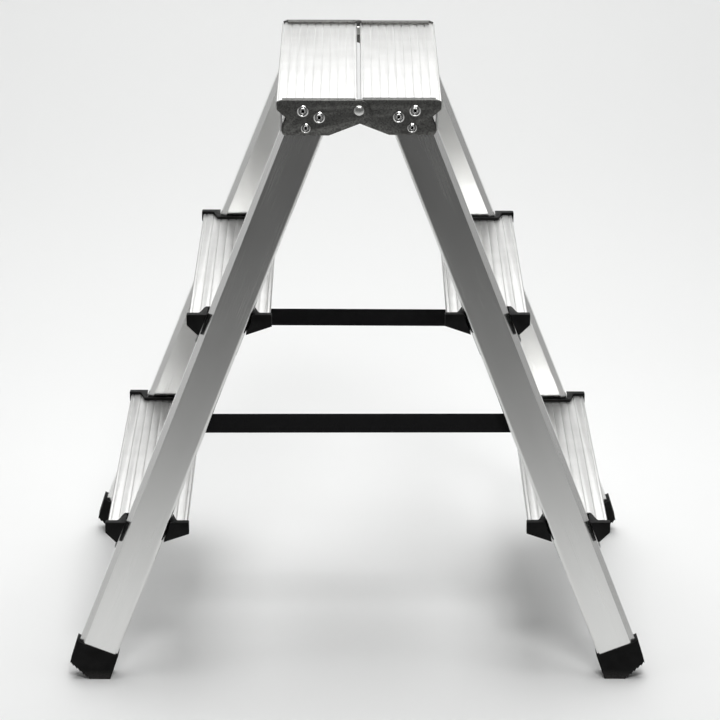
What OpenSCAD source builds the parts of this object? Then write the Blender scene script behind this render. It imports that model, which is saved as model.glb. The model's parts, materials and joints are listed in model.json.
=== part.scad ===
// Double-sided aluminium step ladder, open and standing on its four feet.
// X runs across the fold, Y along the hinge line, Z up. The origin is on the floor, midway
// between the feet. Each piece is drawn once for +X and +Y, then mirrored to its own corner.

/* [Overall] */
// Height of the top of the hinge plates above the floor
stand_h = 730; // [600:1:900]
// Length of the platform along the hinge line, over the outer hinge plates
platform_l = 402; // [330:1:500]
// Lean of each side from the vertical
lean = 21.3; // [18:0.1:23]
// Splay of the stiles along the hinge line
splay = 4.1; // [2:0.1:6]
// Height between one tread and the next
step_rise = 263; // [220:1:280]

/* [Stiles] */
// Width of a stile across its wide face
stile_w = 50; // [40:0.5:60]
// Thickness of a stile
stile_t = 22; // [18:0.5:30]
// Wall of a stile
stile_wall = 1.6; // [1.2:0.1:2.5]
// Radius of a stile's inner corners
stile_r = 4; // [2:0.5:6]
// Width of the slanted strips along a stile's outer corners, across its wide face
strip_w = 6.5; // [4:0.5:8]
// Depth of those strips, across the thickness of the stile
strip_d = 4.5; // [3:0.5:7]
// Distance of a stile's middle from the hinge line, at the top
stile_top_x = 51.7; // [44:0.1:56]
// Width of the line along each wide face
line_w = 0.8; // [0.4:0.1:1.5]
// Depth of the line along each wide face
line_cut = 0.5; // [0.3:0.1:0.8]
// Distance of that line from the stile's outer edge
line_in = 7; // [6.5:0.5:10]

/* [Treads] */
// Thickness of a tread's top
tread_t = 3; // [2.4:0.1:4]
// Wall of a tread's folded edges
edge_wall = 2.2; // [1.6:0.1:3]
// Depth of a lower tread, front to back, without its end caps
tread_d = 98.2; // [88:0.2:110]
// Height of a lower tread's nose
nose_h = 9; // [6:0.5:12]
// Height of the sloping web below a lower tread's outer nose
web_h = 11; // [8:0.5:16]
// Height of the sloping web below a lower tread's inner nose
inner_web_h = 6; // [4:0.5:8]
// Distance that both webs run in under the tread
web_run = 11; // [8:0.5:16]
// Distance between two grooves in a tread
groove_pitch = 10; // [6:0.5:16]
// Width of a groove
groove_w = 1.4; // [1:0.1:3]
// Depth of a groove
groove_cut = 1.4; // [0.5:0.1:1.5]
// Distance of the platform's first groove from its nose
first_groove = 2.8; // [2:0.1:6]
// Width of one half of the platform, from the gap to its nose
half_d = 96.3; // [86:0.1:110]
// Gap between the two halves of the platform
platform_gap = 4; // [3:0.5:6]
// Height of the platform's outer skirt
skirt_h = 38; // [30:1:40]
// Height of the platform's inner skirt, beside the gap
inner_skirt_h = 12; // [8:0.5:13]
// Set-back of the outer skirt behind the nose
skirt_in = 5; // [3:0.5:8]

/* [Hinge] */
// Thickness of a hinge plate
plate_t = 3; // [2.5:0.1:4]
// Height of a hinge plate
plate_h = 43; // [36:0.5:50]
// Depth of the flange that laps over the platform
flange_d = 8; // [5:0.5:12]
// Depth of the hinge line below the top of the plates
pin_drop = 12.3; // [10:0.1:16]
// Diameter of the hinge pin
pin_d = 8; // [6:0.5:10]
// Diameter of the hinge pin's outer head
pin_head_d = 12.4; // [11:0.2:16]
// Height of the hinge pin's outer head
pin_head_h = 3.4; // [2:0.2:5]
// Clearance between the hinge pin and the plate that turns on it
pin_play = 0.05; // [0.03:0.01:0.1]
// Gap between the two plates of one hinge
plate_play = 0.2; // [0.1:0.05:0.5]

/* [End caps] */
// Height of the cap's rim above the tread
rim_h = 3.5; // [2:0.5:6]
// How far the rim laps over the end of the tread
rim_lap = 2.5; // [1.5:0.5:4]
// Wall of a cap round the tread's nose
cap_wall = 2.2; // [1.5:0.1:3]
// How far a cap stands proud of the stile's outer face
cap_proud = 2.5; // [1:0.5:4]
// Depth of a cap's ear, from the stile's outer face to the rim's inner edge
ear_d = 6.5; // [5.5:0.5:9]
// Gap between a cap and the outer side of the stile
cap_gap = 1.2; // [0.6:0.1:4]
// Gap between a cap and the inner side of the stile
cap_gap_in = 0.5; // [0.3:0.1:4]
// Wall of a cap behind the bracket
cap_back = 5; // [4:0.5:8]
// Where the curve from an ear to the back of a cap starts, out from the side of the stile
curve_start = 1.5; // [1:0.1:3]
// Width of that curve
curve_w = 9; // [6:0.5:12]
// Drop of a cap's outline below the tread's nose
ear_drop = 0.6; // [0.2:0.1:2]

/* [Brackets] */
// Thickness of a step bracket
bracket_t = 3; // [2:0.5:4]
// How far a bracket stands out beside the stile
bracket_side = 1.6; // [0.5:0.1:2]
// Drop of a bracket's tongue below the top of its tread
tongue_h = 51; // [40:1:60]
// Length of the leg under the tread
leg_l = 36; // [25:1:50]

/* [Feet] */
// Wall of a foot round the stile
foot_wall = 2; // [1.5:0.1:3]
// Height of a foot's rim above the floor, along the middle of the stile
foot_h = 39.5; // [34:0.5:60]
// Height of the pointed ears on a foot's rim
foot_ear_h = 1; // [1:0.5:10]
// Thickness of rubber under the end of the stile
sole_t = 6; // [4:0.5:8]
// Length of the flat part of the sole
sole_flat = 25; // [18:1:30]
// Height of the sole's outer edge above the end of the stile's own square cut
sole_lift = 12.5; // [10:0.5:15]
// How far the foot's outer side bulges past its wall, just under the ears
outer_bulge = 1.4; // [0:0.1:3]
// How far the foot's inner side flares out, from rim to sole
inner_flare = 1.6; // [0:0.1:4]
// Number of teeth along the rising part of the sole
teeth = 6; // [3:1:7]
// Depth of one tooth
tooth_cut = 1.9; // [0.8:0.1:2]

/* [Straps] */
// Height of the middle of the straps above the top of the lowest treads
strap_rise = 121; // [60:1:180]
// Width of a strap
strap_w = 24; // [18:1:30]
// Thickness of a strap
strap_t = 1.8; // [1:0.1:3]
// Gap on each side of a strap, to the stile and to the washer
strap_gap = 0.4; // [0.3:0.1:1]
// How far a strap runs on past its rivet
strap_tail = 14; // [10:1:20]

/* [Fixings] */
// Diameter of the flange of a large hinge rivet
rivet_flange_d = 14; // [12:0.5:16]
// Diameter of the shank of a large hinge rivet
rivet_shank_d = 6.4; // [5:0.2:7]
// Size of the lower rivet on each hinge plate, against the other two
low_rivet_size = 0.86; // [0.8:0.02:1]
// Diameter of a bracket rivet's head
stud_head_d = 9; // [7:0.5:11]
// Height of a bracket rivet's head
stud_head_h = 2; // [1.5:0.1:3]
// Diameter of a bracket rivet's shank
stud_shank_d = 4.8; // [4:0.2:6]
// Diameter of the washer on a strap
washer_d = 16; // [14:0.5:20]
// Thickness of the washer on a strap
washer_t = 1.2; // [1:0.1:2]
// Clearance of a rivet in its hole
hole_play = 0.05; // [0.03:0.01:0.2]

/* [Hidden] */
$fn = 48;
LEFT = 0;
RIGHT = 1;
NEAR = 0;
FAR = 1;
half_names = ["left", "right"];
end_names = ["near", "far"];
step_names = ["low", "high"];
over = 1;              // how far a cutter runs past what it cuts
far_out = 200;         // size of a cutter that takes away all on one side
platform_z = stand_h - plate_t;
step_z = [platform_z - 2 * step_rise, platform_z - step_rise];
strap_z = step_z[0] + strap_rise;
pin_z = stand_h - pin_drop;
nose_x = platform_gap / 2 + half_d;
cap_w = tread_d + 2 * cap_wall;
lean_run = tan(lean) / cos(splay);
across = 1 / cos(lean);          // widening of a stile's width in a level cut
knuckle_r = pin_drop;
inner_head_r = pin_d / 2 + 1.5;
inner_head_h = 2.8;
head_play = 0.2;
pin_room_r = pin_room(inner_head_r);
sweep_r = knuckle_r + 1.7;
rivet_spots = [[66.4, -13.2, 1], [47, -20.9, 1], [63, -34, low_rivet_size]];
ear_tip = [0.3, 1.5];  // where a foot ear's tip starts and ends, out from the side of the stile
sole_in = 0.8;         // how far the sole's outer corner is set in from the foot's wall
bulge_z = 1.5;         // height of the bulge above the rim
tooth_lean = 0.85;     // share of a tooth's length that its long side takes
sole_under = 2;        // how far the sole's outline starts under the floor, before it is cut
ear_slant = 2;         // width of the slant from a foot ear's tip down to the rim
stud_x = 12;           // bracket rivets, each side of the stile's middle
stud_drop = 28;        // bracket rivets below the tread
seat_stud_x = 10;      // rivets through the leg, each side of its middle
seat_stud_in = 20;     // rivets through the leg, in from the stile
seat_blind = 1.6;      // how far those rivets go into the tread
stile_end = sole_t / cos(lean) + stile_w / 2 * tan(lean);
stile_side_play = 0.3; // room round a stile where it passes through the platform
bracket_play = 0.3;    // room beside a bracket in its cap and tread
strap_back = stile_t + strap_gap;
tongue_r = 7;          // corner of a bracket's tongue
pin_rim = 0.8;         // edge of the pin's head under its dome
pin_lip = 1;           // bevel of the pin's inner head
plate_in = 1.1;        // how far a plate's front edge stays behind the platform's nose
plate_front = [2, 12]; // top and bottom of a plate's upright front edge, below its top
plate_step = 5;        // length of the slope from a plate's top edge to its front edge
notch_in = 11.4;       // depth of the notch behind a plate's front edge
notch_drop = 21.8;     // drop of the notch below a plate's top
heel_in = 5.4;         // set-back of a plate's lower corner behind its front edge
heel_h = 5.5;          // height of that corner above the plate's lower edge
heel_r = 3;            // size of its rounding
slope_x = 35.7;        // where a plate's lower edge ends and its slope to the knuckle starts
knuckle_tip = [1.5, 2.3 * pin_drop]; // point under the knuckle where that slope ends
knuckle_turn = 220;    // direction from the pin in which the slope's point joins the knuckle
flange_in = 7.2;       // set-back of a flange behind the platform's nose
flange_start = 2;      // distance of a flange from the gap
rivet_reach = 10;      // length of a hinge rivet's shank
stud_reach = 7;        // length of a bracket rivet's shank

function pin_room(r) = r + 0.7;
// Place of the seat that a hinge plate lies on: the left half is the wider one
function seat_y(half) = platform_l / 2 - plate_t - half * (plate_t + plate_play);
// Middle of a stile at a height
function stile_x(z) = stile_top_x + (stand_h - z) * lean_run;
// Outer face of a stile at a height
function face_y(half, z) = seat_y(half) + (stand_h - plate_h - z) * tan(splay);
// Distance along a stile's own axis of a point at a height and a depth behind its outer face
function along(z, depth) = (z + depth * sin(splay)) / (cos(lean) * cos(splay));
// Smooth step from 0 to 1
function ease(t) = (1 - cos(180 * t)) / 2;

// Moves what is drawn for +X and +Y to its own corner
module corner(half, end) {
    mirror([half == LEFT ? 1 : 0, 0, 0])
        mirror([0, end == NEAR ? 1 : 0, 0])
            children();
}

// A stile's own frame: Z up along it, Y out of its outer face, X away from the hinge line
module stile_frame(half) {
    translate([stile_x(0), face_y(half, 0), 0])
        rotate([splay, 0, 0])
            rotate([0, -lean, 0])
                children();
}

// A step's frame: the middle of the stile on its outer face, at the tread's top
module step_frame(half, z) {
    translate([stile_x(z), face_y(half, z), z])
        children();
}

// A block along Y with the outline of its children, from y0 to y1
module along_y(y0, y1) {
    translate([0, y1, 0])
        rotate([90, 0, 0])
            linear_extrude(y1 - y0)
                children();
}

// A solid of revolution about Y, with its foot at the origin and its top towards +Y
module turned_y(outline) {
    rotate([-90, 0, 0])
        rotate_extrude()
            polygon(outline);
}

// Cross-section of a stile, or of a space inside it, smaller by inset on all sides: rounded at
// the inner corners and slanted at the outer ones
module stile_outline(inset) {
    w = stile_w / 2 - inset;
    d = stile_t / 2 - inset;
    r = stile_r - inset;
    slant = norm([strip_w, strip_d]);
    top = [w + inset - strip_w - inset * (slant - strip_w) / strip_d, d];
    side = [w, d + inset - strip_d - inset * (slant - strip_d) / strip_w];
    polygon([[r - w, -d], [top[0], -top[1]], [side[0], -side[1]], side, top, [r - w, d],
        [-w, d - r], [-w, r - d]]);
    for (y = [-1, 1])
        translate([r - w, y * (d - r)])
            circle(r);
}

/* ---------- stiles ---------- */

module stile(half) {
    color([0.80, 0.81, 0.82])
        difference() {
            stile_frame(half)
                translate([0, -stile_t / 2, 0])
                    difference() {
                        stile_bar();
                        stile_bore();
                        stile_lines();
                    }
            translate([0, 0, platform_z - tread_t + far_out / 2])
                cube([2 * nose_x + far_out, 2 * platform_l, far_out], center = true);
            plate_rivet_holes(half, rivet_reach);
            for (z = step_z)
                stud_holes(half, z);
            strap_hole(half);
        }
}

module stile_bar() {
    translate([0, 0, stile_end])
        linear_extrude(along(stand_h, 0) - stile_end)
            stile_outline(0);
}

module stile_bore() {
    translate([0, 0, stile_end - over])
        linear_extrude(along(stand_h, 0) - stile_end + 2 * over)
            stile_outline(stile_wall);
}

module stile_lines() {
    for (y = [-1, 1])
        translate([stile_w / 2 - line_in, y * stile_t / 2, along(stand_h, 0) / 2])
            cube([line_w, 2 * line_cut, 2 * stand_h], center = true);
}

/* ---------- lower treads ---------- */

// Outline of a lower tread seen along the hinge line, with its hollow filled
module tread_fill() {
    w = tread_d / 2;
    polygon([[-w + over, 0], [w - over, 0], [w, -over], [w, -nose_h],
        [w - web_run, -nose_h - web_h], [web_run - w, -nose_h - inner_web_h],
        [-w, -nose_h], [-w, -over]]);
}

// Points of the hollow along one web, from the nose wall down past the web's lower edge
function web_inside(drop) =
    let (w = tread_d / 2,
         turn = atan(drop / web_run),
         top = nose_h - edge_wall * (1 / cos(turn) - tan(turn)),
         slant = edge_wall / sin(turn))
    [[w - edge_wall, -top], [w - web_run - slant - over * web_run / drop, -nose_h - drop - over]];

module tread_hollow() {
    w = tread_d / 2 - edge_wall;
    outer = web_inside(web_h);
    inner = web_inside(inner_web_h);
    polygon([[-w, -tread_t], [w, -tread_t], outer[0], outer[1], [outer[1][0], -far_out],
        [-inner[1][0], -far_out], [-inner[1][0], inner[1][1]], [-inner[0][0], inner[0][1]]]);
}

module tread_grooves() {
    count = floor((tread_d - groove_pitch) / groove_pitch / 2);
    for (i = [-count - 1 : count])
        translate([(i + 0.5) * groove_pitch, 0])
            square([groove_w, 2 * groove_cut], center = true);
}

// Rim's inner edge seen from above, moved towards the stile by inset, from one side to the other
function rim_curve(inset) =
    let (back = stile_t + bracket_t + cap_back,
         start = stile_w / 2 * across + curve_start,
         steps = 10,
         side = [for (i = [0 : steps])
             [start + curve_w * i / steps, inset - back + (back - ear_d) * ease(i / steps)]])
    concat([[-far_out, inset - ear_d]],
        [for (i = [steps : -1 : 0]) [-side[i][0], side[i][1]]],
        side,
        [[far_out, inset - ear_d]]);

// What lies outside the rim's inner edge, up to a line in front of the stile
module beyond_rim(inset, front) {
    polygon(concat([[-far_out, front]], rim_curve(inset), [[far_out, front]]));
}

// Room for a stile and for the bracket behind it
module stile_room(half) {
    inner = stile_w / 2 + cap_gap_in * cos(lean);
    outer = stile_w / 2 + cap_gap * cos(lean);
    side = stile_w / 2 + bracket_side + bracket_play;
    stile_frame(half) {
        translate([-inner, -stile_t - over, -stand_h])
            cube([inner + outer, far_out, 3 * stand_h]);
        translate([-side, -stile_t - bracket_t, -stand_h])
            cube([2 * side, bracket_t, 3 * stand_h]);
    }
}

module tread(half, z) {
    reach = face_y(half, z) + over;
    color([0.86, 0.87, 0.88])
        difference() {
            translate([stile_x(z), 0, z])
                difference() {
                    along_y(-reach, reach) difference() {
                        tread_fill();
                        tread_hollow();
                        tread_grooves();
                    }
                }
            for (side = [0, 1])
                mirror([0, side, 0]) {
                    step_frame(half, z)
                        translate([0, 0, -far_out / 2])
                            linear_extrude(far_out)
                                beyond_rim(rim_lap, far_out);
                    stile_room(half);
                    seat_holes(half, z);
                }
        }
}

/* ---------- caps on the ends of the lower treads ---------- */

// Outline of a cap seen along the hinge line, open below where the bracket passes
module cap_outline() {
    w = cap_w / 2;
    low = nose_h + web_h + cap_wall;
    run = (low - nose_h - ear_drop) * web_run / web_h;
    outer_x = stile_w / 2 * across + cap_gap;
    inner_x = stile_w / 2 * across + cap_gap_in;
    polygon([[-w, rim_h - over], [-w + over, rim_h], [w - over, rim_h], [w, rim_h - over],
        [w, -nose_h - ear_drop], [w - run, -low], [outer_x, -low],
        [outer_x, -tread_t], [-inner_x, -tread_t], [(low - tread_t) * lean_run - inner_x, -low],
        [-w, -nose_h - cap_wall]]);
}

module cap_block(inset) {
    intersection() {
        along_y(-far_out / 2, cap_proud)
            cap_outline();
        translate([0, 0, -far_out / 2])
            linear_extrude(far_out)
                beyond_rim(inset, far_out);
    }
}

module cap(half, z) {
    color([0.10, 0.10, 0.11])
        difference() {
            step_frame(half, z) {
                cap_block(rim_lap);
                difference() {
                    cap_block(0);
                    along_y(-far_out, far_out)
                        tread_fill();
                }
            }
            stile_room(half);
        }
}

/* ---------- brackets between the stiles and the lower treads ---------- */

module tongue() {
    w = stile_w + 2 * bracket_side;
    r = tongue_r;
    translate([-w / 2, r])
        square([w, tongue_h]);
    translate([r - w / 2, 0])
        square([w - 2 * r, 2 * r]);
    for (x = [-1, 1])
        translate([x * (w / 2 - r), r])
            circle(r);
}

module bracket(half, z) {
    color([0.62, 0.63, 0.64])
        difference() {
            union() {
                stile_frame(half)
                    translate([0, -stile_t, along(z - tongue_h, stile_t)])
                        rotate([90, 0, 0])
                            linear_extrude(bracket_t)
                                tongue();
                step_frame(half, z)
                    translate([(tread_t + bracket_t / 2) * lean_run, 0, 0])
                        along_y(-stile_t - leg_l, -stile_t - bracket_t / 2)
                            translate([-stile_w / 2, -tread_t - bracket_t])
                                square([stile_w, bracket_t]);
            }
            translate([stile_x(z), 0, z - tread_t + far_out / 2])
                cube([far_out, 2 * platform_l, far_out], center = true);
            stud_holes(half, z);
            seat_holes(half, z);
        }
}

/* ---------- platform ---------- */

module platform_outline() {
    n = nose_x;
    g = platform_gap / 2;
    web_top = -nose_h - skirt_in;
    polygon([[g, -over], [g + over, 0], [n - over, 0], [n, -over],
        [n, -nose_h + over], [n - skirt_in, web_top + over], [n - skirt_in, -skirt_h],
        [n - skirt_in - edge_wall, -skirt_h], [n - skirt_in - edge_wall, web_top + over],
        [n - edge_wall, -nose_h + over - edge_wall * (sqrt(2) - 1)], [n - edge_wall, -tread_t],
        [g + edge_wall, -tread_t], [g + edge_wall, -inner_skirt_h], [g, -inner_skirt_h]]);
}

module platform_grooves() {
    count = floor((half_d - first_groove - groove_w) / groove_pitch);
    for (i = [0 : count])
        translate([nose_x - first_groove - i * groove_pitch, 0])
            square([groove_w, 2 * groove_cut], center = true);
}

module platform(half) {
    reach = seat_y(half);
    color([0.86, 0.87, 0.88])
        difference() {
            translate([0, 0, platform_z])
                along_y(-reach, reach) difference() {
                    platform_outline();
                    platform_grooves();
                }
            for (side = [0, 1])
                mirror([0, side, 0]) {
                    stile_slot(half);
                    knuckle_room(half);
                    pin_end_room();
                }
        }
}

// Room for the top of a stile, which ends under the platform's top
module stile_slot(half) {
    intersection() {
        stile_frame(half)
            translate([0, -stile_t / 2, stand_h / 2])
                cube([stile_w + 2 * stile_side_play, stile_t + 2 * stile_side_play,
                    2 * stand_h], center = true);
        translate([0, 0, platform_z - tread_t - far_out / 2])
            cube([2 * far_out, 2 * platform_l, far_out], center = true);
    }
}

// Room in the left half for the right plate's knuckle, which turns inside the left plate
module knuckle_room(half) {
    if (half == LEFT)
        translate([0, seat_y(RIGHT) - plate_play, pin_z])
            rotate([-90, 0, 0])
                cylinder(r = sweep_r, h = 2 * plate_t);
}

// Room in both halves for the inner end of the hinge pin
module pin_end_room() {
    translate([0, seat_y(RIGHT) - head_play - inner_head_h - over, pin_z])
        rotate([-90, 0, 0])
            cylinder(r = pin_room_r, h = 4 * plate_t);
}

/* ---------- hinge plates, pins ---------- */

// Outline of a plate: x from the hinge line, z down from the plate's top edge
module plate_outline() {
    n = nose_x - plate_in;
    heel = [n - heel_in, heel_h - plate_h];
    join_r = knuckle_r - over;
    polygon([[0, 0], [n - plate_step, 0], [n, -plate_front[0]], [n, -plate_front[1]],
        [n - notch_in, -notch_drop], heel,
        [heel[0] - heel_r * 0.25, heel[1] - heel_r], [heel[0] - heel_r, -plate_h],
        [slope_x, -plate_h], [-knuckle_tip[0], -knuckle_tip[1]],
        [join_r * cos(knuckle_turn), join_r * sin(knuckle_turn) - pin_drop],
        [0, -pin_drop]]);
}

module plate(half) {
    y = seat_y(half);
    bore = half == LEFT ? pin_d / 2 : pin_d / 2 + pin_play;
    color([0.30, 0.30, 0.29])
        difference() {
            union() {
                translate([0, 0, stand_h])
                    along_y(y, y + plate_t)
                        plate_outline();
                translate([0, y, pin_z])
                    rotate([-90, 0, 0])
                        cylinder(r = knuckle_r, h = plate_t);
                plate_flange(half);
            }
            translate([0, y - over, pin_z])
                rotate([-90, 0, 0])
                    cylinder(r = bore, h = plate_t + 2 * over);
            plate_rivet_holes(half, over);
        }
}

module plate_flange(half) {
    y = seat_y(half);
    start = platform_gap / 2 + flange_start;
    difference() {
        translate([start, y - flange_d, stand_h - plate_t])
            cube([nose_x - flange_in - start, flange_d + over, plate_t]);
        knuckle_room(half);
    }
}

// Hinge pin: domed outer head, shank through both plates, formed inner head
module pin() {
    outer = platform_l / 2;
    inner = seat_y(RIGHT) - head_play;
    shank = outer - inner;
    head_r = pin_head_d / 2;
    base = -shank - inner_head_h;
    dome = [for (i = [0 : 8])
        [head_r * cos(90 * i / 8), pin_rim + (pin_head_h - pin_rim) * sin(90 * i / 8)]];
    color([0.85, 0.85, 0.84])
        translate([0, outer, pin_z])
            turned_y(concat([[0, base], [inner_head_r - pin_lip, base], [inner_head_r, base + pin_lip],
                [inner_head_r, -shank], [pin_d / 2, -shank], [pin_d / 2, 0], [head_r, 0]], dome));
}

/* ---------- rivets ---------- */

// Blind rivet: flange, raised ring and the hollow left by its mandrel
module blind_rivet() {
    r = rivet_flange_d / 2;
    s = rivet_shank_d / 2;
    turned_y([[0, -rivet_reach], [s, -rivet_reach], [s, 0], [r, 0], [r, 0.8], [r - 1.4, 1.6],
        [s + 1.5, 0.9], [s + 0.6, 2.1], [s - 0.5, 2.1], [s - 1.3, 1.4], [s - 1.3, -2], [0, -2]]);
}

module plate_rivets(half) {
    color([0.82, 0.82, 0.81])
        for (spot = rivet_spots)
            translate([spot[0], seat_y(half) + plate_t, stand_h + spot[1]])
                scale(spot[2])
                    blind_rivet();
}

module plate_rivet_holes(half, reach) {
    for (spot = rivet_spots)
        translate([spot[0], seat_y(half) - reach, stand_h + spot[1]])
            rotate([-90, 0, 0])
                cylinder(r = rivet_shank_d / 2 * spot[2] + hole_play, h = reach + 2 * plate_t);
}

// Round-headed rivet with its head towards +Y
module stud(reach) {
    r = stud_head_d / 2;
    s = stud_shank_d / 2;
    turned_y([[0, -reach], [s, -reach], [s, 0], [r, 0], [r, 0.5],
        [r * 0.85, stud_head_h * 0.7], [r * 0.5, stud_head_h * 0.95], [0, stud_head_h]]);
}

module stud_places(half, z) {
    stile_frame(half)
        for (x = [-1, 1])
            translate([x * stud_x, -stile_t - bracket_t, along(z - stud_drop, stile_t)])
                children();
}

module seat_places(half, z) {
    step_frame(half, z)
        for (x = [-1, 1])
            translate([x * seat_stud_x, -stile_t - seat_stud_in, -tread_t - bracket_t])
                children();
}

module step_rivets(half) {
    for (z = step_z) {
        stud_places(half, z)
            mirror([0, 1, 0])
                stud(stud_reach);
        seat_places(half, z)
            rotate([-90, 0, 0])
                stud(bracket_t + seat_blind);
    }
}

module stud_holes(half, z) {
    stud_places(half, z)
        translate([0, -over, 0])
            rotate([-90, 0, 0])
                cylinder(r = stud_shank_d / 2 + hole_play, h = stud_reach + over);
}

module seat_holes(half, z) {
    seat_places(half, z)
        translate([0, 0, -over])
            cylinder(r = stud_shank_d / 2 + hole_play, h = bracket_t + seat_blind + over);
}

/* ---------- straps ---------- */

module strap_places(half) {
    stile_frame(half)
        translate([0, -strap_back - strap_t, along(strap_z, stile_t)])
            children();
}

// Washer and rivet that hold one end of a strap
module strap_rivet() {
    r = washer_d / 2;
    turned_y([[stud_shank_d / 2, 0], [r, 0], [r, washer_t * 0.6], [r - 0.6, washer_t],
        [stud_shank_d / 2, washer_t]]);
    translate([0, washer_t, 0])
        stud(washer_t + strap_t + 2 * strap_gap + stile_wall + 3);
}

module strap_rivets(half) {
    strap_places(half)
        translate([0, -strap_gap, 0])
            mirror([0, 1, 0])
                strap_rivet();
}

module strap_hole(half) {
    strap_places(half)
        rotate([-90, 0, 0])
            cylinder(r = stud_shank_d / 2 + hole_play, h = strap_t + strap_gap + stile_t / 2);
}

// One strap, between the middles of the two stiles at one end of the ladder
module strap() {
    span = stile_x(strap_z);
    depth = strap_back + strap_t / 2;
    y_left = face_y(LEFT, strap_z) - depth / cos(splay);
    y_right = face_y(RIGHT, strap_z) - depth / cos(splay);
    turn = atan((y_right - y_left) / (2 * span));
    color([0.06, 0.06, 0.07])
        difference() {
            translate([0, (y_left + y_right) / 2, strap_z])
                rotate([splay, 0, turn])
                    cube([2 * (span + strap_tail), strap_t, strap_w], center = true);
            for (half = [LEFT, RIGHT])
                mirror([half == LEFT ? 1 : 0, 0, 0])
                    strap_places(half)
                        translate([0, -strap_t, 0])
                            rotate([-90, 0, 0])
                                cylinder(r = stud_shank_d / 2 + strap_gap, h = 3 * strap_t);
        }
}

/* ---------- feet ---------- */

// Outline of a foot in its stile's frame: pointed ears, flared sides, and a sole that is flat
// where it stands and rises in saw teeth to the outer side. What lies under the floor is cut away.
module foot_side() {
    w = stile_w / 2 + foot_wall;
    tip = stile_w / 2 + ear_tip[1];
    rim = foot_h / cos(lean);
    sole = [w - sole_in, sole_lift];
    flat = [sole_flat * cos(lean) - w - inner_flare, 0];
    start = [flat[0], -flat[0] * tan(lean) - sole_under];
    run = (sole - start) / teeth;
    saw = [for (i = [0 : teeth - 1])
        each [start + i * run, start + (i + tooth_lean) * run + [0, tooth_cut]]];
    polygon(concat([[-tip, rim + foot_ear_h], [-w - inner_flare, -w * tan(lean)]], saw,
        [sole, [w + outer_bulge, rim + bulge_z], [tip, rim + foot_ear_h]]));
}

// The rim's dip on both wide faces, between the pointed ears on the narrow sides
module foot_rim_dip() {
    w = stile_w / 2 + ear_tip[0];
    rim = foot_h / cos(lean);
    polygon([[-w, rim + 2 * foot_ear_h], [-w, rim + foot_ear_h], [ear_slant - w, rim],
        [w - ear_slant, rim], [w, rim + foot_ear_h], [w, rim + 2 * foot_ear_h]]);
}

module foot(half) {
    d = stile_t + 2 * foot_wall;
    rise = along(foot_h, 0) + 2 * foot_ear_h;
    color([0.09, 0.09, 0.10])
        difference() {
            stile_frame(half)
                translate([0, -stile_t / 2, 0])
                    difference() {
                        along_y(-d / 2, d / 2) difference() {
                            foot_side();
                            foot_rim_dip();
                        }
                        translate([0, 0, stile_end])
                            linear_extrude(rise)
                                stile_outline(0);
                    }
            translate([stile_x(0), face_y(half, 0), -far_out / 2])
                cube([far_out, far_out, far_out], center = true);
        }
}

/* ---------- the object ---------- */

for (h = [LEFT, RIGHT]) {
    name = half_names[h];
    corner(h, FAR) platform(h);
    for (e = [NEAR, FAR]) corner(h, e) plate_rivets(h);
    for (e = [NEAR, FAR]) corner(h, e) color([0.7, 0.7, 0.7]) step_rivets(h);
    for (e = [NEAR, FAR]) corner(h, e) color([0.7, 0.7, 0.7]) strap_rivets(h);
    for (e = [NEAR, FAR]) {
        corner(h, e) stile(h);
        corner(h, e) plate(h);
        corner(h, e) foot(h);
    }
    for (s = [0, 1]) {
        corner(h, FAR) tread(h, step_z[s]);
        for (e = [NEAR, FAR]) {
            corner(h, e) cap(h, step_z[s]);
            corner(h, e) bracket(h, step_z[s]);
        }
    }
}
for (e = [NEAR, FAR]) {
    corner(RIGHT, e) pin();
    corner(RIGHT, e) strap();
}
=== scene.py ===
# %% [markdown]
# # A double-sided step ladder
#
# The real object is a small aluminium ladder that opens like a capital A: two frames of
# rectangular tube, joined along the top by two riveted hinges, with three steps on each side.
# Two black webbing straps stop the frames from sliding apart. This notebook dresses the measured
# model: it gives every metal, plastic and rubber part its finish, rounds the edges that a real
# part has, weaves the straps, and lights the whole thing on a pale studio floor.

# %% Load the measured frame
import json
import math

import bmesh
import bpy
from mathutils import Matrix, Vector

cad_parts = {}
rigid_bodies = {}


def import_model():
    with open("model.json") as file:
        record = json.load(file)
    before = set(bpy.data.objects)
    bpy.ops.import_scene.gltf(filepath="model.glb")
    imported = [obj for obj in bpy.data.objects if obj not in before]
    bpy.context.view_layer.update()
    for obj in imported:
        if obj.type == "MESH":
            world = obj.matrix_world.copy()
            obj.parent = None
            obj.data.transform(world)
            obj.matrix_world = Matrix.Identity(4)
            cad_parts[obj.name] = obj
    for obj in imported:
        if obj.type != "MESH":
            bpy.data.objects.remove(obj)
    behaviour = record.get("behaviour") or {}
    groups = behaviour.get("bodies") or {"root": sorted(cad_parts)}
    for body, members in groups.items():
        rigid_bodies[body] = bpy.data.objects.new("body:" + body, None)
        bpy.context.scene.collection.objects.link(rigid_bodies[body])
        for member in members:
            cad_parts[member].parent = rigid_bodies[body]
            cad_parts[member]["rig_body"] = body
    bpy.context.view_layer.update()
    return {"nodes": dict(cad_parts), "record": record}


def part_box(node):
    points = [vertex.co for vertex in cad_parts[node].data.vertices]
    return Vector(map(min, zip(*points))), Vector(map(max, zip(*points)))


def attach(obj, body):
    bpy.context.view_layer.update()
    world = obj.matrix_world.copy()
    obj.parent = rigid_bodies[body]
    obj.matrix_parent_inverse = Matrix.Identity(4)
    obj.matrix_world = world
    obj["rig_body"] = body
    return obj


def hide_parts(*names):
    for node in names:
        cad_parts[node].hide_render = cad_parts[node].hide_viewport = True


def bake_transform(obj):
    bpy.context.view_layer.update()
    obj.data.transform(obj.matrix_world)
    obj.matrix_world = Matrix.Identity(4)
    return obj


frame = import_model()
MM = 0.001

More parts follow.
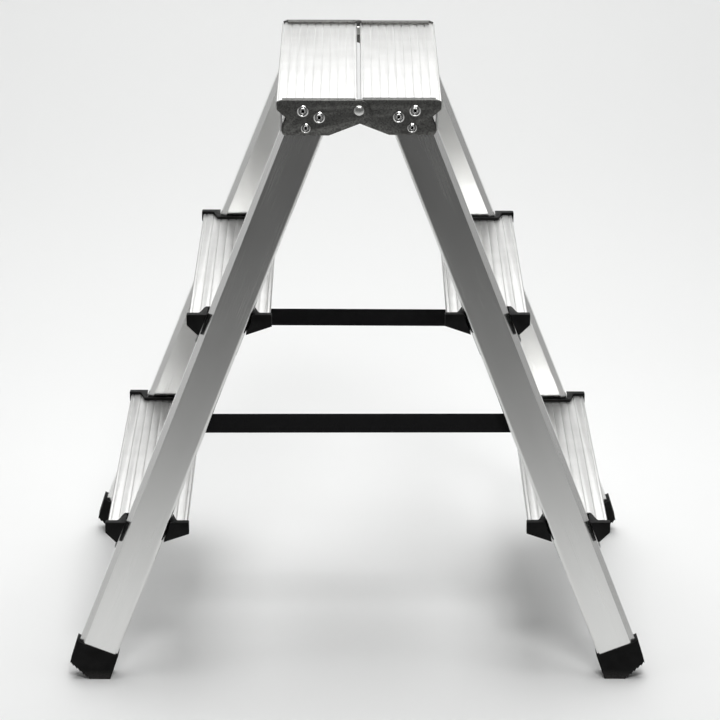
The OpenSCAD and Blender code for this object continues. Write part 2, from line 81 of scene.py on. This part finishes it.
# %% [markdown]
# ## What the model is made of
#
# The pieces are named after the half that they belong to (left or right), what they are, the step
# that they serve (low or high) and the end of the ladder (near or far). Short lists of those words
# save us from writing forty names by hand.

# %% Names of the halves and ends
HALVES = ("left", "right")
ENDS = ("near", "far")

# %% [markdown]
# ## The camera
#
# A studio camera stands well back and has a long lens, so that the four legs stay almost
# parallel and the near and far treads keep a similar size. The camera looks along the hinge line,
# a little down, from just above the height of the platform.

# %% Camera
FOCAL_LENGTH = 158.9
CAMERA_PLACE = (-0.01137, -3.8329, 1.7081)
TILT, TURNED, ROLLED = math.radians(90 - 19.741), math.radians(-0.212), math.radians(0.179)


def add_camera():
    lens = bpy.data.cameras.new("long_lens")
    lens.sensor_width = 36
    lens.lens = FOCAL_LENGTH
    camera = bpy.data.objects.new("long_lens", lens)
    bpy.context.collection.objects.link(camera)
    camera.location = CAMERA_PLACE
    tilt = Matrix.Rotation(TILT, 3, "X")
    turn = Matrix.Rotation(TURNED, 3, "Z") @ tilt @ Matrix.Rotation(ROLLED, 3, "Z")
    camera.rotation_euler = turn.to_euler()
    bpy.context.scene.camera = camera
    return camera


camera = add_camera()
print("lens", round(camera.data.lens, 1), "mm at", [round(v, 2) for v in camera.location])

# %% [markdown]
# ## A small language for shaders
#
# A material is a graph of nodes. Written out link by link it is long and hard to read, so we wrap
# an output socket in a class that understands + - * and /. An expression such as 1 - mask then
# adds its own Math nodes, and everything that isn't plain arithmetic goes through one method. That
# method takes a node's type, its settings and then the values or links of its sockets, in order or
# by name.

# %% Socket arithmetic
class Wire:
    """An output socket that can be added, multiplied and so on, like a number."""

    def __init__(self, paint, socket):
        self.paint = paint
        self.socket = socket

    def math(self, operation, *others):
        return self.paint.node("ShaderNodeMath", {"operation": operation}, self, *others)

    def __add__(self, other):
        return self.math("ADD", other)

    def __radd__(self, other):
        return self.math("ADD", other)

    def __sub__(self, other):
        return self.math("SUBTRACT", other)

    def __rsub__(self, other):
        return self.paint.node("ShaderNodeMath", {"operation": "SUBTRACT"}, other, self)

    def __mul__(self, other):
        return self.math("MULTIPLY", other)

    def __rmul__(self, other):
        return self.math("MULTIPLY", other)

    def __truediv__(self, other):
        return self.math("DIVIDE", other)

    def __rtruediv__(self, other):
        return self.paint.node("ShaderNodeMath", {"operation": "DIVIDE"}, other, self)

    def axis(self, name):
        return self.paint.node("ShaderNodeSeparateXYZ", None, self, output=name)


class Paint:
    """A material under construction."""

    def __init__(self, name):
        self.material = bpy.data.materials.new(name)
        self.material.use_nodes = True
        self.tree = self.material.node_tree
        self.shader = self.tree.nodes["Principled BSDF"]

    def node(self, kind, settings=None, *values, output=0, **named):
        made = self.tree.nodes.new(kind)
        for key, value in (settings or {}).items():
            setattr(made, key, value)
        for key, value in [*enumerate(values), *named.items()]:
            key = key.replace("_", " ") if isinstance(key, str) else key
            self.feed(made.inputs[key], value)
        return Wire(self, made.outputs[output])

    def feed(self, socket, value):
        if isinstance(value, Wire):
            self.tree.links.new(value.socket, socket)
        elif isinstance(value, tuple) and len(value) == 3 and socket.type == "RGBA":
            socket.default_value = (*value, 1)
        else:
            socket.default_value = value

    def set(self, **sockets):
        for name, value in sockets.items():
            self.feed(self.shader.inputs[name.replace("_", " ")], value)
        return self.material


print("shader helpers ready")

# %% [markdown]
# ## Tools that several finishes share
#
# Most finishes start in the same way: take the position of a point on the piece, stretch it in one
# direction, and look up a noise there. Two colours are then blended by that noise, and a Bump node
# turns a height into a tilt of the surface. Heights are in millimetres, because that is how a
# finish is described in a workshop.

# %% Position, noise, blend and bump
def position(paint):
    return paint.node("ShaderNodeTexCoord", output="Object")


def stretched(paint, place, x, y, z):
    return paint.node("ShaderNodeVectorMath", {"operation": "MULTIPLY"}, place, (x, y, z))


NOISE = (0.3, 0.7)      # nearly all of a noise's values lie between these two


def noise(paint, place, scale, detail=3.0, roughness=0.5):
    return paint.node("ShaderNodeTexNoise", Vector=place, Scale=scale, Detail=detail,
                      Roughness=roughness)


MIX_LOW, MIX_HIGH, MIX_RESULT = 6, 7, 2    # a Mix node's colour sockets, by number


def blend(paint, amount, low, high):
    mixed = paint.node("ShaderNodeMix", {"data_type": "RGBA"}, amount, output=MIX_RESULT)
    inputs = mixed.socket.node.inputs
    paint.feed(inputs[MIX_LOW], low)
    paint.feed(inputs[MIX_HIGH], high)
    return mixed


def grey(value):
    return (value, value, value)


def band(paint, value, low, high, to_low=0.0, to_high=1.0):
    return paint.node("ShaderNodeMapRange", Value=value, From_Min=low, From_Max=high,
                      To_Min=to_low, To_Max=to_high)


def bump(paint, height, depth_mm):
    return paint.node("ShaderNodeBump", Strength=1.0, Distance=depth_mm * MM, Height=height)


print("finish helpers ready")

# %% [markdown]
# ## Aluminium: the stiles
#
# A stile is pressed hot through a steel die, and the die leaves fine lines along its whole length.
# They scatter light sideways, so the metal looks satin. The lines have to run along each leaning
# tube, so the four tubes are folded onto one: with the absolute values of X and Y all of them lean
# the same way, and two fixed directions measure how far along and how far across a point lies.

# %% Stile finish
LEAN, SPLAY = math.radians(21.3), math.radians(4.1)


def stile_place(paint):
    """Position on a stile: X across its wide face, Y through it, Z along it."""
    folded = paint.node("ShaderNodeVectorMath", {"operation": "ABSOLUTE"}, position(paint))
    turn = Matrix.Rotation(SPLAY, 3, "X") @ Matrix.Rotation(-LEAN, 3, "Y")
    parts = [paint.node("ShaderNodeVectorMath", {"operation": "DOT_PRODUCT"}, folded,
                        tuple(turn.col[i]), output="Value") for i in range(3)]
    return paint.node("ShaderNodeCombineXYZ", None, *parts)


def make_stile_aluminium():
    paint = Paint("stile_aluminium")
    place = stile_place(paint)
    lines = noise(paint, stretched(paint, place, 2600, 2600, 7), 1.0, 3.0, 0.6)
    cloud = noise(paint, stretched(paint, place, 30, 30, 7), 1.0, 4.0)
    shade = blend(paint, band(paint, cloud, *NOISE), (0.78, 0.78, 0.77), (0.85, 0.85, 0.84))
    rough = band(paint, lines * 0.6 + cloud * 0.4, *NOISE, 0.19, 0.29)
    return paint.set(Base_Color=shade, Metallic=1.0, Roughness=rough,
                     Normal=bump(paint, lines, 0.012))


stile_aluminium = make_stile_aluminium()
print("made", stile_aluminium.name)

# %% [markdown]
# ## Aluminium: the treads
#
# Tread sections come out of the same kind of die, but their top is ribbed so that a wet shoe grips.
# The deep grooves are real geometry in the model. Between them run much finer serrations, far too
# many to model, so they are a wave in the surface tilt: about one ridge per millimetre, along Y.
# They are on the top alone, so the wave is multiplied by how far a point's face looks up.

# %% Tread finish
SERRATION = 1.25 * MM


def make_tread_aluminium():
    paint = Paint("tread_aluminium")
    place = position(paint)
    ridge = (place.axis("X") * (2 * math.pi / SERRATION)).math("SINE")
    lines = noise(paint, stretched(paint, place, 2200, 6, 2200), 1.0, 3.0, 0.6)
    cloud = noise(paint, place, 25.0, 4.0)
    shade = blend(paint, band(paint, cloud, *NOISE), (0.74, 0.74, 0.73), (0.81, 0.81, 0.80))
    rough = band(paint, lines, *NOISE, 0.32, 0.45)
    up = paint.node("ShaderNodeNewGeometry", output="Normal").axis("Z")
    height = ridge * band(paint, up, 0.8, 0.95) + lines * 0.25
    return paint.set(Base_Color=shade, Metallic=1.0, Roughness=rough,
                     Normal=bump(paint, height, 0.03))


tread_aluminium = make_tread_aluminium()
print("made", tread_aluminium.name)

# %% [markdown]
# ## Steel: hinge plates, pins, rivets and brackets
#
# The hinge plates are galvanised sheet. Molten zinc freezes into flat crystals, the spangle, and
# each crystal reflects a little differently; with time they go dark and mottled. A Voronoi texture
# gives each crystal its own grey. Pins and rivets are plated bright, with fine turning marks. A
# blind rivet in a hinge plate has a hollow where its mandrel broke off. How far a point stands
# proud of the plate tells the bright flange from the hollow, and the hollow and the ring at the
# flange's foot are painted dark as painted shade.

# %% Galvanised and plated finishes
CRYSTAL_WARP = 2 * MM


def make_galvanised(name, dark, light, crystal_mm, rough_low, rough_high):
    paint = Paint(name)
    place = position(paint)
    warp = noise(paint, place, 260.0, 2.0)
    bent = paint.node("ShaderNodeVectorMath", {"operation": "MULTIPLY_ADD"}, warp,
                      (CRYSTAL_WARP,) * 3, place)
    crystal = paint.node("ShaderNodeTexVoronoi", Vector=bent, Scale=1 / (crystal_mm * MM),
                         output="Color")
    tone = paint.node("ShaderNodeSeparateColor", None, crystal, output="Red")
    fine = noise(paint, place, 900.0, 3.0, 0.7)
    mix = band(paint, tone * 0.55 + fine * 0.45, 0.2, 0.8)
    return paint.set(Base_Color=blend(paint, mix, dark, light), Metallic=1.0,
                     Roughness=band(paint, mix, 0.0, 1.0, rough_high, rough_low),
                     Normal=bump(paint, fine, 0.02))


def make_plated(name, shade, rough):
    paint = Paint(name)
    place = position(paint)
    fine = noise(paint, place, 1500.0, 3.0, 0.6)
    tint = blend(paint, fine, tuple(v * 0.85 for v in shade), shade)
    return paint.set(Base_Color=tint, Metallic=1.0, Normal=bump(paint, fine, 0.006),
                     Roughness=band(paint, fine, *NOISE, rough, rough + 0.12))


def make_hinge_rivet(half):
    """Bright plating, with painted shade in the hollow in the middle and in the ring round that."""
    paint = Paint(half + "_hinge_rivet")
    place = position(paint)
    plate_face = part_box(half + "_plate_far")[1].y
    proud = (place.axis("Y").math("ABSOLUTE") - plate_face) / MM
    fine = noise(paint, place, 1500.0, 3.0, 0.6)
    # painted shade: near black in the mandrel's hollow, dark grey in the ring at the flange's foot
    unshaded_flange = band(paint, proud + fine * 0.3, 0.9, 1.5)
    hollow_shade_mask = band(paint, proud, -0.3, 0.9)
    hollow_shade = blend(paint, hollow_shade_mask, grey(0.006), (0.20, 0.20, 0.19))
    return paint.set(Base_Color=blend(paint, unshaded_flange, hollow_shade, (0.90, 0.90, 0.89)), Metallic=1.0,
                     Roughness=band(paint, fine, *NOISE, 0.18, 0.3),
                     Normal=bump(paint, fine, 0.004))


hinge_steel = make_galvanised("hinge_steel", (0.10, 0.10, 0.096), (0.21, 0.21, 0.20),
                              crystal_mm=1.7, rough_low=0.40, rough_high=0.55)
bracket_steel = make_galvanised("bracket_steel", grey(0.38), grey(0.6),
                                crystal_mm=2.5, rough_low=0.35, rough_high=0.5)
pin_steel = make_plated("pin_steel", (0.84, 0.84, 0.82), 0.26)
rivet_steel = make_plated("rivet_steel", (0.86, 0.86, 0.85), 0.27)
print("made", [m.name for m in (hinge_steel, bracket_steel, pin_steel, rivet_steel)])

# %% [markdown]
# ## Black plastic and rubber
#
# The end caps are moulded in a tool with a spark-eroded grain, a fine irregular pitting that hides
# scratches. Rubber feet are duller, and pick up pale dust from the floor round their soles. Both
# are never fully black, and a little variation in roughness keeps them from looking like a hole.

# %% Moulded finishes
def make_moulded(name, dark, light, grain, depth_mm, rough_low, rough_high, dust=0.0):
    paint = Paint(name)
    place = position(paint)
    pits = noise(paint, place, grain, 4.0, 0.65)
    cloud = noise(paint, place, 60.0, 3.0)
    shade = blend(paint, band(paint, cloud, 0.35, 0.65), dark, light)
    if dust:
        low = band(paint, place.axis("Z") + cloud * 8 * MM, 4 * MM, 16 * MM, dust, 0.0)
        shade = blend(paint, low * band(paint, pits, 0.4, 0.6), shade, (0.12, 0.115, 0.11))
    return paint.set(Base_Color=shade, Specular_IOR_Level=0.1, Normal=bump(paint, pits, depth_mm),
                     Roughness=band(paint, pits, *NOISE, rough_low, rough_high))


cap_plastic = make_moulded("cap_plastic", grey(0.004), grey(0.008), grain=1400.0, depth_mm=0.03,
                           rough_low=0.38, rough_high=0.55)
foot_rubber = make_moulded("foot_rubber", grey(0.005), grey(0.010), grain=900.0, depth_mm=0.04,
                           rough_low=0.5, rough_high=0.75, dust=0.5)
print("made", cap_plastic.name, foot_rubber.name)

# %% [markdown]
# ## Putting the finishes on the measured parts
#
# The parts that come from the measured model keep their shape. Each has a material slot named in
# the record, so a dictionary from slot to finish is enough to dress all of them.

# %% Dress the measured parts
FINISH = {"stile_aluminium": stile_aluminium, "tread_aluminium": tread_aluminium,
          "hinge_steel": hinge_steel, "bracket_steel": bracket_steel, "pin_steel": pin_steel,
          "rivet_steel": rivet_steel, "cap_plastic": cap_plastic, "foot_rubber": foot_rubber}
SLOT_OF = {part["node"]: part["material_slot"] for part in frame["record"]["subparts"]}


def dress(thing, finish):
    thing.data.materials.clear()
    thing.data.materials.append(finish)


dressed = [node for node, slot in SLOT_OF.items() if slot in FINISH]
for node in dressed:
    dress(frame["nodes"][node], FINISH[SLOT_OF[node]])
for half in HALVES:
    dress(frame["nodes"][half + "_plate_rivets"], make_hinge_rivet(half))
print("dressed", len(dressed), "nodes")

# %% [markdown]
# ## Edges that catch the light
#
# No real edge is perfectly sharp. A sheared plate has a burr that was tumbled off, a moulded cap a
# radius from its tool, an extrusion a radius from its die. Each of those tiny rounds catches a thin
# line of light, and that line is what makes an edge look solid. So we copy a measured part, merge
# its loose triangles, dissolve the flat ones back into whole faces and bevel every sharp edge.

# %% From a bmesh to a piece in the scene
def piece_from(made, name, finish, smooth_below=None):
    """Object with the mesh of a bmesh, smooth but for edges sharper than smooth_below degrees."""
    mesh = bpy.data.meshes.new(name)
    made.to_mesh(mesh)
    made.free()
    mesh.shade_smooth()
    if smooth_below:
        mesh.set_sharp_from_angle(angle=math.radians(smooth_below))
    piece = bpy.data.objects.new(name, mesh)
    bpy.context.collection.objects.link(piece)
    dress(piece, finish)
    return piece


print("ready to turn shapes into pieces")

# %% Eased copy of a measured part
SHARP = math.radians(28)
FLAT = math.radians(0.5)
WELD = 0.003 * MM
BEVEL_STEPS = 2


def merged(node):
    made = bmesh.new()
    made.from_mesh(frame["nodes"][node].data)
    bmesh.ops.remove_doubles(made, verts=made.verts, dist=WELD)
    bmesh.ops.dissolve_degenerate(made, edges=made.edges, dist=WELD)
    bmesh.ops.dissolve_limit(made, angle_limit=FLAT, verts=made.verts, edges=made.edges,
                             delimit={"NORMAL"})
    return made


def eased(node, width_mm):
    made = merged(node)
    edges = [e for e in made.edges if e.is_manifold and e.calc_face_angle() > SHARP]
    bmesh.ops.bevel(made, geom=edges, offset=width_mm * MM, offset_type="OFFSET", affect="EDGES",
                    segments=BEVEL_STEPS, profile=0.5, material=-1, clamp_overlap=True)
    piece = piece_from(made, node + "_eased", FINISH[SLOT_OF[node]], smooth_below=35)
    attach(piece, frame["nodes"][node]["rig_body"])
    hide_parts(node)
    return piece


EDGE_WIDTH_MM = {"_platform": 0.4, "_tread_": 0.35, "_plate_near": 0.7, "_plate_far": 0.7,
                 "_bracket_": 0.5, "_cap_": 0.6, "_foot_": 0.7}
for kind, width_mm in EDGE_WIDTH_MM.items():
    pieces = [eased(node, width_mm) for node in SLOT_OF if kind in node]
    print("eased", len(pieces), kind, "to", width_mm, "mm,",
          sum(len(p.data.polygons) for p in pieces), "faces")

# %% [markdown]
# ## The webbing straps
#
# Webbing is woven from thick yarns. The cross yarns sit in rows that the eye reads as ribs, a few
# millimetres apart, and the long yarns pass over and under them. The ribs are deep enough to show
# in the outline, so they are real geometry. The yarns inside each rib are far finer, so they are a
# bump on the strap's own UV map, which is laid out in millimetres of webbing.

# %% Strap finish
YARN_ALONG_MM, YARN_ACROSS_MM = 1.43, 0.9


def make_webbing():
    paint = Paint("strap_webbing")
    place = paint.node("ShaderNodeUVMap", {"uv_map": "weave"})
    over = (place.axis("X") * (2 * math.pi / YARN_ALONG_MM)).math("SINE")
    yarn = (place.axis("Y") * (2 * math.pi / YARN_ACROSS_MM)).math("SINE") * over
    fuzz = noise(paint, place, 3.5, 4.0, 0.7)
    height = yarn * 0.5 + fuzz
    shade = blend(paint, band(paint, height, 0.0, 1.0), grey(0.002), (0.012, 0.012, 0.013))
    return paint.set(Base_Color=shade, Roughness=band(paint, fuzz, *NOISE, 0.6, 0.85),
                     Specular_IOR_Level=0.12, Sheen_Weight=0.02, Sheen_Roughness=0.4,
                     Normal=bump(paint, height, 0.1))


strap_webbing = make_webbing()
print("made", strap_webbing.name)

# %% [markdown]
# ## Where a strap lies
#
# A strap leans with the stiles, so its box doesn't say which way it faces. Its plain measured solid
# does: the largest triangle lies on a wide face and gives the direction through the strap, and the
# two ends give the direction along it. The third direction is across both.

# %% Measure a strap
END_ZONE = 150 * MM     # points further than this from the ladder's middle belong to an end


def strap_axes(node):
    """Middle, half sizes and turn of a strap, with X along it, Y across it and Z through it."""
    mesh = frame["nodes"][node].data
    through = max(mesh.polygons, key=lambda face: face.area).normal.copy()
    points = [v.co.copy() for v in mesh.vertices]
    ends = [[p for p in points if p.x * side > END_ZONE] for side in (-1, 1)]
    left, right = [sum(end, Vector()) / len(end) for end in ends]
    along = (right - left).normalized()
    along = (along - through * along.dot(through)).normalized()
    axes = (along, through.cross(along), through)
    spans = [(min(p.dot(a) for p in points), max(p.dot(a) for p in points)) for a in axes]
    middle = sum((a * (low + high) / 2 for a, (low, high) in zip(axes, spans)), Vector())
    halves = [(high - low) / 2 for low, high in spans]
    turn = Matrix([[*(a[row] for a in axes)] for row in range(3)])
    return middle, halves, turn


print("a strap is", [round(2 * half / MM, 1) for half in strap_axes("strap_near")[1]], "mm")

# %% [markdown]
# ## Weaving one strap
#
# A grid gives the front face and an extrusion of it the back. Each point is then pushed outward by
# the rib it lies on: a rib is a rounded bar, so its height follows the absolute value of a sine,
# with narrow valleys between broad tops. Towards both selvedges the webbing thins out.

# %% Weave a strap
RIB = 2.85 * MM
RIB_HEIGHT = 0.22 * MM
RIB_STEPS, WIDTH_STEPS = 4, 14      # grid cells along one rib and across the strap
RIB_FULLNESS = 0.6                  # below 1 the tops are broad and the valleys narrow
SELVEDGE_THINS, SELVEDGE_POWER = 0.55, 8
STIFF_END = 40 * MM                 # held flat by the rivet at each end


def weave_strap(end):
    node = "strap_" + end
    middle, (half_l, half_w, half_t), turn = strap_axes(node)
    ribs = round(2 * half_l / RIB)
    made = bmesh.new()
    bmesh.ops.create_grid(made, x_segments=ribs * RIB_STEPS, y_segments=WIDTH_STEPS, size=1.0)
    back = bmesh.ops.extrude_face_region(made, geom=list(made.faces))["geom"]
    back = {v for v in back if isinstance(v, bmesh.types.BMVert)}
    for v in made.verts:
        rib = abs(math.sin(math.pi * ribs * (v.co.x + 1) / 2)) ** RIB_FULLNESS
        body = half_t - RIB_HEIGHT * (1 - rib)
        edge = 1 - SELVEDGE_THINS * abs(v.co.y) ** SELVEDGE_POWER
        v.co.z = body * edge * (1 if v in back else -1)
    weave = made.loops.layers.uv.new("weave")
    for face in made.faces:
        for loop in face.loops:
            u, v = loop.vert.co.x * half_l, loop.vert.co.y * half_w
            loop[weave].uv = (u / MM, v / MM)
    bmesh.ops.scale(made, vec=(half_l, half_w, 1), verts=made.verts)
    bmesh.ops.transform(made, matrix=Matrix.Translation(middle) @ turn.to_4x4(), verts=made.verts)
    bmesh.ops.recalc_face_normals(made, faces=made.faces)
    strap = piece_from(made, node + "_webbing", strap_webbing, smooth_below=60)
    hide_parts(node)
    2 * half_w
    2 * half_l
    reach = turn.col[0] * (half_l - STIFF_END)
    middle - reach
    middle + reach
    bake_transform(strap)
    print(strap.name, "has", ribs, "ribs and", len(strap.data.polygons), "faces")


for end in ENDS:
    weave_strap(end)

# %% [markdown]
# ## Floor and backdrop
#
# A sweep is one sheet of pale board: it lies flat as the floor, curves up with a generous radius
# and stands as the wall behind. Without a corner there is no line behind the object. Towards the
# front the board is painted greyer as painted shade, and the front faces of the metal reflect that
# darker part.

# %% Sweep
CURVE_STEPS = 24
DARKEST_SHADE_Y, PALE_FROM = -3.2, -0.3     # Y at which the board is greyest and palest


def make_pale_board():
    paint = Paint("pale_board")
    place = position(paint)
    # painted shade: the board is painted darker towards the front
    front_shade = band(paint, place.axis("Y") + noise(paint, place, 1.5) * 0.4, DARKEST_SHADE_Y, PALE_FROM)
    shade = blend(paint, front_shade, (0.34, 0.34, 0.335), (0.82, 0.825, 0.82))
    return paint.set(Roughness=0.6, Base_Color=shade)


def add_sweep():
    made = bmesh.new()
    front, back, radius, side, top = -6.0, 5.2, 1.8, 5.0, 4.5
    line = [Vector((-side, front, 0)), Vector((-side, back - radius, 0))]
    for step in range(1, CURVE_STEPS + 1):
        a = math.pi / 2 * step / CURVE_STEPS
        line.append(Vector((-side, back - radius + radius * math.sin(a),
                            radius - radius * math.cos(a))))
    line.append(Vector((-side, back, top)))
    verts = [made.verts.new(p) for p in line]
    edges = [made.edges.new(pair) for pair in zip(verts, verts[1:])]
    swept = bmesh.ops.extrude_edge_only(made, edges=edges)["geom"]
    bmesh.ops.translate(made, vec=(2 * side, 0, 0),
                        verts=[v for v in swept if isinstance(v, bmesh.types.BMVert)])
    bmesh.ops.recalc_face_normals(made, faces=made.faces)
    sweep = piece_from(made, "sweep", make_pale_board())
    return sweep


sweep = add_sweep()
print("sweep has", len(sweep.data.polygons), "faces")

# %% [markdown]
# ## Light
#
# Bare metal has no colour of its own, it shows what stands round it. One large soft light hangs
# overhead and lights the floor and the treads. Behind the object two more make the floor and the
# wall almost white, which the treads mirror. A small one high in front draws bright rings on the
# rivets and thin lines on the edges, and its narrow spread keeps it off the floor in front. Two
# panels at the sides brighten the slanted outer corners of the stiles. The room itself stays dim.

# %% Lights
def softbox(name, place, target, size, power, spread=180):
    """Rectangular lamp aimed at a target, with its size in metres and its power in watts."""
    light = bpy.data.lights.new(name, "AREA")
    light.shape = "RECTANGLE"
    light.size, light.size_y = size
    light.energy = power
    light.spread = math.radians(spread)
    lamp = bpy.data.objects.new(name, light)
    lamp.location = place
    lamp.rotation_euler = (Vector(target) - Vector(place)).to_track_quat("-Z", "Y").to_euler()
    bpy.context.collection.objects.link(lamp)
    return lamp


def dim_room(strength):
    world = bpy.data.worlds.new("room")
    world.use_nodes = True
    background = world.node_tree.nodes["Background"].inputs
    background["Color"].default_value = (1, 1, 1, 1)
    background["Strength"].default_value = strength
    bpy.context.scene.world = world


lamps = [
    softbox("overhead", (0, 0.5, 2.7), (0, 0.4, 0), (2.8, 2.2), 73),
    softbox("back_floor", (0, 3.4, 2.9), (0, 3.2, 0), (5.0, 2.0), 38),
    softbox("wall_wash", (0, 3.0, 3.2), (0, 5.2, 1.8), (5.0, 1.0), 54),
    softbox("high_front", (0.3, -1.9, 2.7), (0, 0.1, 0.2), (0.9, 0.6), 5, spread=70),
    softbox("side_left", (-2.3, -1.2, 0.8), (-0.2, -0.2, 0.4), (1.2, 1.6), 3.0),
    softbox("side_right", (2.3, -1.2, 0.8), (0.2, -0.2, 0.4), (1.2, 1.6), 2.1),
]
dim_room(0.08)
bpy.context.scene.view_settings.view_transform = "Standard"
print("lamps:", [lamp.name for lamp in lamps])
